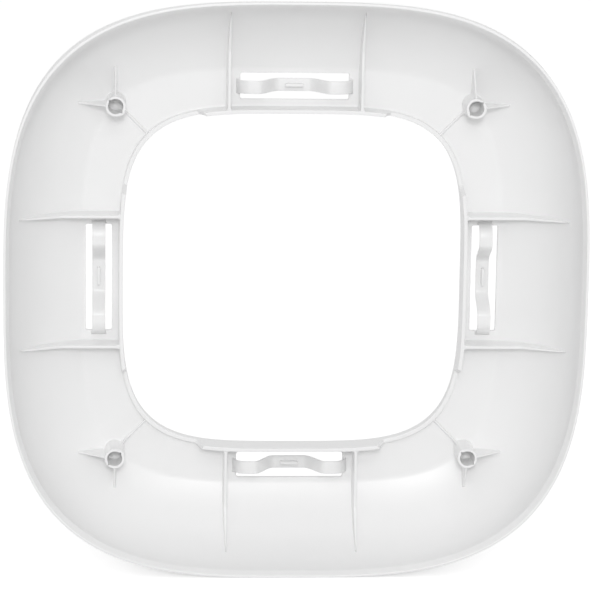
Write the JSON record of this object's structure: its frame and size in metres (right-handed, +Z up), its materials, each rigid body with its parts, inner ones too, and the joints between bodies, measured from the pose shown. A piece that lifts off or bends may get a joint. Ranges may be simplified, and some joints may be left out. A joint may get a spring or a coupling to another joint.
{
  "type": "ceiling access point trim ring",
  "caption": "Rounded-square trim ring for a ceiling access point: ribbed shell with corner screw bosses, guide lips round its opening and wavy spring latches in windows",
  "frame": {"origin": "the ring's centre on the ceiling plane, where the flat end of its rim rests", "axes": "+Z up along the height, +X to the right seen from the open ceiling side, +Y along the ring's axis from the ceiling side to the show face"},
  "size_m": [0.275, 0.0518, 0.275],
  "materials": {
    "white_moulding": "satin injection-moulded ABS"
  },
  "bodies": {
    "shell": {"cover_shell": "white_moulding"},
    "top_pad": {"latch_top_pad": "white_moulding"},
    "top_arm_a": {"latch_top_arm_a": "white_moulding"},
    "top_arm_b": {"latch_top_arm_b": "white_moulding"},
    "right_pad": {"latch_right_pad": "white_moulding"},
    "right_arm_a": {"latch_right_arm_a": "white_moulding"},
    "right_arm_b": {"latch_right_arm_b": "white_moulding"},
    "bottom_pad": {"latch_bottom_pad": "white_moulding"},
    "bottom_arm_a": {"latch_bottom_arm_a": "white_moulding"},
    "bottom_arm_b": {"latch_bottom_arm_b": "white_moulding"},
    "left_pad": {"latch_left_pad": "white_moulding"},
    "left_arm_a": {"latch_left_arm_a": "white_moulding"},
    "left_arm_b": {"latch_left_arm_b": "white_moulding"}
  },
  "joints": [
    {"name": "top_latch_press", "type": "slide", "parent": "shell", "child": "top_pad", "axis": [0, -1, 0], "range_m": [-0.0005, 0.003], "stiffness_N_per_m": 1500},
    {"name": "top_arm_a_flex", "type": "hinge", "parent": "shell", "child": "top_arm_a", "pos_m": [-0.02675, 0.0461, 0.0932], "axis": [0, 0, -1], "range_deg": [-2, 9.5]},
    {"name": "top_arm_b_flex", "type": "hinge", "parent": "shell", "child": "top_arm_b", "pos_m": [0.02675, 0.0461, 0.0932], "axis": [0, 0, 1], "range_deg": [-2, 9.5]},
    {"name": "right_latch_press", "type": "slide", "parent": "shell", "child": "right_pad", "axis": [0, -1, 0], "range_m": [-0.0005, 0.003], "stiffness_N_per_m": 1500},
    {"name": "right_arm_a_flex", "type": "hinge", "parent": "shell", "child": "right_arm_a", "pos_m": [0.0932, 0.0461, 0.02675], "axis": [-1, 0, 0], "range_deg": [-2, 9.5]},
    {"name": "right_arm_b_flex", "type": "hinge", "parent": "shell", "child": "right_arm_b", "pos_m": [0.0932, 0.0461, -0.02675], "axis": [1, 0, 0], "range_deg": [-2, 9.5]},
    {"name": "bottom_latch_press", "type": "slide", "parent": "shell", "child": "bottom_pad", "axis": [0, -1, 0], "range_m": [-0.0005, 0.003], "stiffness_N_per_m": 1500},
    {"name": "bottom_arm_a_flex", "type": "hinge", "parent": "shell", "child": "bottom_arm_a", "pos_m": [0.02675, 0.0461, -0.0932], "axis": [0, 0, 1], "range_deg": [-2, 9.5]},
    {"name": "bottom_arm_b_flex", "type": "hinge", "parent": "shell", "child": "bottom_arm_b", "pos_m": [-0.02675, 0.0461, -0.0932], "axis": [0, 0, -1], "range_deg": [-2, 9.5]},
    {"name": "left_latch_press", "type": "slide", "parent": "shell", "child": "left_pad", "axis": [0, -1, 0], "range_m": [-0.0005, 0.003], "stiffness_N_per_m": 1500},
    {"name": "left_arm_a_flex", "type": "hinge", "parent": "shell", "child": "left_arm_a", "pos_m": [-0.0932, 0.0461, -0.02675], "axis": [1, 0, 0], "range_deg": [-2, 9.5]},
    {"name": "left_arm_b_flex", "type": "hinge", "parent": "shell", "child": "left_arm_b", "pos_m": [-0.0932, 0.0461, 0.02675], "axis": [-1, 0, 0], "range_deg": [-2, 9.5]}
  ],
  "couplings": [
    {"joint": "top_arm_a_flex", "follows": "top_latch_press", "rad_per_m": 52},
    {"joint": "top_arm_b_flex", "follows": "top_latch_press", "rad_per_m": 52},
    {"joint": "right_arm_a_flex", "follows": "right_latch_press", "rad_per_m": 52},
    {"joint": "right_arm_b_flex", "follows": "right_latch_press", "rad_per_m": 52},
    {"joint": "bottom_arm_a_flex", "follows": "bottom_latch_press", "rad_per_m": 52},
    {"joint": "bottom_arm_b_flex", "follows": "bottom_latch_press", "rad_per_m": 52},
    {"joint": "left_arm_a_flex", "follows": "left_latch_press", "rad_per_m": 52},
    {"joint": "left_arm_b_flex", "follows": "left_latch_press", "rad_per_m": 52}
  ]
}
